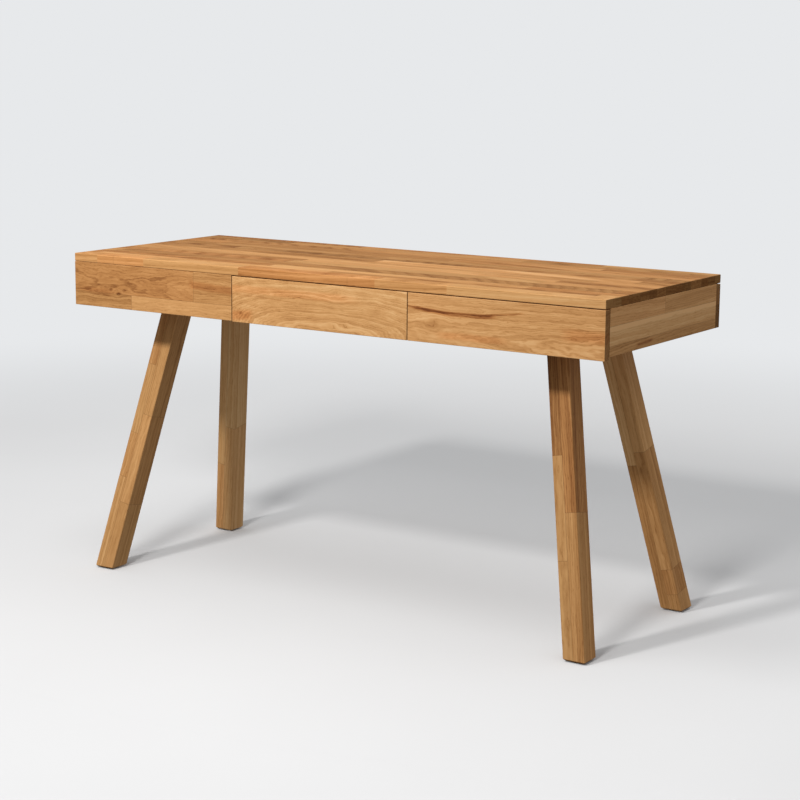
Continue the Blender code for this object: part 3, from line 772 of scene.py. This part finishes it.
def new_piece(name, bm, material, body):
    """Turns a bmesh into a visible piece that rides on a body."""
    bmesh.ops.recalc_face_normals(bm, faces=bm.faces)
    mesh = bpy.data.meshes.new(name)
    bm.to_mesh(mesh)
    bm.free()
    mesh.shade_smooth()
    mesh.set_sharp_from_angle(angle=SHARP_ANGLE)
    mesh.materials.append(material)
    piece = bpy.data.objects.new(name, mesh)
    SCENE.collection.objects.link(piece)
    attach(piece, body)


def add_lathe(bm, rings, place, direction):
    """A closed solid from rings of (radius, height) pairs that stand on place and point along direction."""
    turn = Vector(Z).rotation_difference(Vector(direction)).to_matrix()
    loops = []
    for ring in rings:
        loop = []
        for index, (radius, height) in enumerate(ring):
            angle = math.tau * index / len(ring)
            point = Vector((radius * math.cos(angle), radius * math.sin(angle), height))
            loop.append(bm.verts.new(Vector(place) + turn @ point))
        loops.append(loop)
    for below, above in zip(loops, loops[1:]):
        for index in range(len(below)):
            after = (index + 1) % len(below)
            bm.faces.new((below[index], below[after], above[after], above[index]))
    bm.faces.new(loops[0][::-1])
    bm.faces.new(loops[-1])


def add_screw(bm, place, direction, radius, height):
    """A pan head with a cross recess."""
    rings = [[(radius * r, height * h)] * SCREW_SEGMENTS for r, h in SCREW_PROFILE]
    for size, level in RECESS_DEPTHS:
        arms = [radius * size * RECESS_ARMS[i % len(RECESS_ARMS)] for i in range(SCREW_SEGMENTS)]
        rings.append([(arm, height * level) for arm in arms])
    add_lathe(bm, rings, place, direction)


def add_dot(bm, place, direction, radius, height):
    """A soft round stop with a domed face."""
    rings = [[(radius * r, height * h)] * DOT_SEGMENTS for r, h in DOT_PROFILE]
    add_lathe(bm, rings, place, direction)


def add_cage(bm, centre, start, end, radius):
    """A row of balls along Y, in a thin strip that widens round each ball."""
    count = int((end - start) / CAGE_PITCH)
    x, z = centre
    thickness = radius * 0.45
    points = []
    for step in range(count * CAGE_STEPS + 1):
        wave = 0.5 - 0.5 * math.cos(math.tau * step / CAGE_STEPS)
        y = start + CAGE_PITCH * step / CAGE_STEPS
        points.append((y, CAGE_HALF_WIDTH * (0.45 + 0.55 * wave)))
    sides = []
    for level in (z - thickness / 2, z + thickness / 2):
        for hand in (-1, 1):
            sides.append([bm.verts.new((x + hand * width, y, level)) for y, width in points])
    loops = (sides[0], sides[1], sides[3], sides[2])
    for first, second in zip(loops, loops[1:] + loops[:1]):
        for index in range(len(points) - 1):
            bm.faces.new((first[index], first[index + 1], second[index + 1], second[index]))
    bm.faces.new([loop[0] for loop in loops])
    bm.faces.new([loop[-1] for loop in loops][::-1])
    for ball in range(count):
        place = Matrix.Translation((x, start + CAGE_PITCH * (ball + 0.5), z))
        bmesh.ops.create_icosphere(bm, subdivisions=2, radius=radius, matrix=place)


def overlap_middle(first, second):
    """The middle, across X, of what two boxes share."""
    return (max(first[0].x, second[0].x) + min(first[1].x, second[1].x)) / 2


def fit_runner(drawer, side):
    """Ball cages between the three rails, and the screws that hold the outer two."""
    label = f"{drawer}_drawer_{side}_runner"
    cabinet, middle, inner = (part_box(f"{label}_{rail}_rail") for rail in ("cabinet", "middle", "drawer"))
    height = (cabinet[0].z + cabinet[1].z) / 2
    half_way = (middle[0].y + middle[1].y) / 2
    gap = (cabinet[1].z - RAIL_SHEET - middle[1].z) / 2
    rear = (half_way + CAGE_INNER_END, middle[1].y - CAGE_OUTER_END)
    fore = (middle[0].y + CAGE_OUTER_END, half_way - CAGE_INNER_END)
    rows = (
        (overlap_middle(cabinet, middle), middle[1].z + gap - height, rear),
        (overlap_middle(middle, inner), inner[1].z + gap - height, fore),
    )
    bm = bmesh.new()
    for x, offset, (start, end) in rows:
        for level in (height - offset, height + offset):
            add_cage(bm, (x, level), start, end, gap - BALL_CLEARANCE)
    new_piece(f"{label}_ball_cages", bm, ZINC, f"{drawer}_runner_middles")
    inward = 1 if side == "left" else -1
    near, far = (0, 1) if side == "left" else (1, 0)
    outer_face = cabinet[near].x + inward * RAIL_SHEET
    inner_face = inner[far].x - inward * RAIL_SHEET
    for name, face, way, head, body in (
        ("cabinet_rail_screws", outer_face, inward, CABINET_RAIL_SCREW, "desk"),
        ("drawer_rail_screws", inner_face, -inward, DRAWER_RAIL_SCREW, f"{drawer}_drawer"),
    ):
        bm = bmesh.new()
        for share in RAIL_SHARES:
            y = cabinet[0].y + (cabinet[1].y - cabinet[0].y) * share
            add_screw(bm, (face, y, height), (way, 0, 0), *head)
        new_piece(f"{label}_{name}", bm, ZINC, body)


def fit_drawer(drawer):
    """Screws that hold the front and the bottom, and soft stops behind the front's ends."""
    body = f"{drawer}_drawer"
    front, sub, bottom = (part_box(f"{drawer}_drawer_{part}") for part in ("front", "subfront", "bottom"))
    bm = bmesh.new()
    for x in (sub[0].x + FRONT_SCREW_FROM_END, sub[1].x - FRONT_SCREW_FROM_END):
        for z in (bottom[1].z + FRONT_SCREW_FROM_EDGE, sub[1].z - FRONT_SCREW_FROM_EDGE):
            add_screw(bm, (x, sub[1].y, z), Y, *FRONT_SCREW)
    new_piece(f"{drawer}_drawer_front_screws", bm, ZINC, body)
    bm = bmesh.new()
    for share in BOTTOM_SHARES:
        x = bottom[0].x + (bottom[1].x - bottom[0].x) * share
        place = (x, bottom[1].y - BOTTOM_SCREW_FROM_BACK, bottom[0].z)
        add_screw(bm, place, minus(Z), *BOTTOM_SCREW)
    new_piece(f"{drawer}_drawer_bottom_screws", bm, ZINC, body)
    bm = bmesh.new()
    height = (front[0].z + front[1].z) / 2 + DOT_OVER_MIDDLE
    for x, inward in ((front[0].x, 1), (front[1].x, -1)):
        # At the desk's ends a dot meets the side panel, and elsewhere its half of a partition's edge.
        inset = DOT_ON_PANEL if abs(x) > DESK_END else DOT_ON_PARTITION
        add_dot(bm, (x + inward * inset, front[1].y, height), Y, *STOP_DOT)
    new_piece(f"{drawer}_drawer_stop_dots", bm, FELT, body)


def fit_box():
    """Screws up through the bottom panel into the two partitions."""
    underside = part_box("bottom_panel")[0].z
    bm = bmesh.new()
    for partition in ("left_partition", "right_partition"):
        low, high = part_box(partition)
        for share in PARTITION_SHARES:
            place = ((low.x + high.x) / 2, low.y + (high.y - low.y) * share, underside)
            add_screw(bm, place, minus(Z), *PARTITION_SCREW)
    new_piece("partition_screws", bm, ZINC, "desk")


for drawer in DRAWERS:
    fit_drawer(drawer)
    for side in ("left", "right"):
        fit_runner(drawer, side)
fit_box()

# ---------------------------------------------------------------- stage, light and camera

FLOOR_RADIUS, WALL_RADIUS, WALL_HEIGHT = 6.5, 8.5, 4.5
BEND_STEPS, STAGE_SEGMENTS = 12, 96
PAPER_FAR = (0.800, 0.814, 0.830, 1.0)
PAPER_NEAR = ((0.3, (0.494, 0.495, 0.497)), (0.7, (0.506, 0.507, 0.509)))
PAPER_FADE = (1.7, 4.2)                    # where the lit floor turns into the even far paper
PAPER_LIFT = 0.04


def make_stage():
    """A round studio: a flat pale floor that curves up into a wall all the way round. Only the camera
    sees it: the world's colour stands for the light that it would bounce."""
    profile = [(1.5, 0.0), (3.0, 0.0), (FLOOR_RADIUS, 0.0)]
    bend = WALL_RADIUS - FLOOR_RADIUS
    for step in range(1, BEND_STEPS + 1):
        angle = math.pi / 2 * step / BEND_STEPS
        profile.append((FLOOR_RADIUS + bend * math.sin(angle), bend * (1 - math.cos(angle))))
    profile.append((WALL_RADIUS, WALL_HEIGHT))
    count = STAGE_SEGMENTS
    turns = [math.tau * i / count for i in range(count)]
    mesh = bpy.data.meshes.new("studio_floor")
    bm = bmesh.new()
    rings = [
        [bm.verts.new((radius * math.cos(turn), radius * math.sin(turn), height)) for turn in turns]
        for radius, height in profile
    ]
    centre = bm.verts.new((0.0, 0.0, 0.0))
    for i in range(count):
        bm.faces.new((centre, rings[0][i], rings[0][(i + 1) % count]))
    for inner, outer in zip(rings, rings[1:]):
        for i in range(count):
            j = (i + 1) % count
            bm.faces.new((inner[i], outer[i], outer[j], inner[j]))
    for face in bm.faces:
        face.smooth = True
    bm.to_mesh(mesh)
    bm.free()
    floor = bpy.data.objects.new("studio_floor", mesh)
    SCENE.collection.objects.link(floor)
    material, g, point = simple_material("studio_paper")
    away = g.vector("LENGTH", point)
    mottle = g.noise(g.vector("SCALE", point, scale=1.2), 3.0, 0.5)["Fac"]
    near = g.node("ShaderNodeBsdfDiffuse", {"Color": g.colours(mottle, PAPER_NEAR)})
    lift = g.node("ShaderNodeEmission", {"Color": PAPER_FAR, "Strength": PAPER_LIFT})
    lit = g.node("ShaderNodeAddShader")
    g.put(lit.inputs[0], near.outputs[0])
    g.put(lit.inputs[1], lift.outputs[0])
    far = g.node("ShaderNodeEmission", {"Color": PAPER_FAR, "Strength": 1.0})
    both = g.node("ShaderNodeMixShader", {"Fac": g.ramp(away, *PAPER_FADE)})
    g.put(both.inputs[1], lit.outputs[0])
    g.put(both.inputs[2], far.outputs[0])
    g.node("ShaderNodeOutputMaterial", {"Surface": both.outputs[0]})
    material.cycles.emission_sampling = "NONE"
    mesh.materials.append(material)
    floor.visible_diffuse = floor.visible_glossy = floor.visible_shadow = False
    return floor


studio_floor = make_stage()

# The air round the desk: light comes mostly from overhead, less from the sides, little from below.
AIR_COLOUR = (0.975, 0.985, 1.0, 1.0)
AIR_OVERHEAD, AIR_BELOW, AIR_SIDES = 0.86, 0.26, 0.31
world = bpy.data.worlds.new("studio_air")
world.use_nodes = True
world.node_tree.nodes.clear()
g = Graph(world.node_tree)
height = g.separate(g.node("ShaderNodeTexCoord").outputs["Generated"])[2]
above = g.math("POWER", g.math("MAXIMUM", height, 0.0), 2.0)
strength = g.mad(above, AIR_OVERHEAD, g.ramp(height, -0.30, 0.05, AIR_BELOW, AIR_SIDES))
air = g.node("ShaderNodeBackground", {"Color": AIR_COLOUR, "Strength": strength})
g.node("ShaderNodeOutputWorld", {"Surface": air.outputs[0]})
SCENE.world = world


def area_light(name, place, target, size, power, colour):
    """A round lamp that faces a target and doesn't show."""
    light = bpy.data.lights.new(name, "AREA")
    light.shape = "DISK"
    light.size = size
    light.energy = power
    light.color = colour
    lamp = bpy.data.objects.new(name, light)
    lamp.location = place
    direction = Vector(target) - Vector(place)
    lamp.rotation_mode = "QUATERNION"
    lamp.rotation_quaternion = direction.to_track_quat("-Z", "Y")
    lamp.visible_camera = False
    SCENE.collection.objects.link(lamp)
    return lamp


def only_lights(lamp, obj, state):
    """Limits a lamp to one object, or keeps it off that object."""
    receivers = bpy.data.collections.new(f"{lamp.name}_receivers")
    receivers.objects.link(obj)
    receivers.collection_objects[0].light_linking.link_state = state
    lamp.light_linking.receiver_collection = receivers


def even_falloff(lamp):
    """The lamp's light stays the same however far it goes, as a big far lamp's would."""
    lamp.data.use_nodes = True
    tree = lamp.data.node_tree
    tree.nodes.clear()
    g = Graph(tree)
    falloff = g.node("ShaderNodeLightFalloff", {"Strength": 1.0})
    emission = g.node("ShaderNodeEmission", {"Strength": falloff.outputs["Constant"]})
    g.node("ShaderNodeOutputLight", {"Surface": emission.outputs[0]})


# One lamp for the desk. The floor has an even one at the same place, and two softer ones, to the
# right of it and overhead.
KEY_PLACE, KEY_AIM, KEY_SIZE, KEY_POWER = (-0.44, -2.05, 2.13), (0.0, 0.0, 0.5), 0.26, 46.0
KEY_COLOUR, FLOOR_LIGHT = (1.0, 0.985, 0.965), (1.0, 0.99, 0.98)
key = area_light("key", KEY_PLACE, KEY_AIM, KEY_SIZE, KEY_POWER, KEY_COLOUR)
only_lights(key, studio_floor, "EXCLUDE")
for name, place, size, power in (
    ("floor_key", KEY_PLACE, KEY_SIZE, 5.1),
    ("floor_fill", (0.55, -2.85, 2.10), 0.70, 6.2),
    ("floor_overhead", (-0.25, -0.90, 2.40), 0.9, 2.2),
):
    lamp = area_light(name, place, KEY_AIM, size, power, FLOOR_LIGHT)
    only_lights(lamp, studio_floor, "INCLUDE")
    even_falloff(lamp)

# The camera that was fitted to the photograph: its place and its axes.
CAMERA_PLACE = (2.47831, -3.70769, 1.26351)
CAMERA_RIGHT = (0.83458, 0.55082, 0.00877)
CAMERA_UP = (-0.10668, 0.14597, 0.98352)
CAMERA_BACK = (0.54046, -0.82176, 0.18059)
CAMERA_SENSOR, CAMERA_LENS, CAMERA_REACH = 36.0, 88.853, 60.0
camera_data = bpy.data.cameras.new("camera")
camera_data.sensor_width = CAMERA_SENSOR
camera_data.lens = CAMERA_LENS
camera_data.clip_end = CAMERA_REACH
camera = bpy.data.objects.new("camera", camera_data)
turn = Matrix((CAMERA_RIGHT, CAMERA_UP, CAMERA_BACK)).transposed().to_4x4()
camera.matrix_world = Matrix.Translation(CAMERA_PLACE) @ turn
SCENE.collection.objects.link(camera)
SCENE.camera = camera

# The photograph's colours are plain display colours.
SCENE.view_settings.view_transform = "Standard"
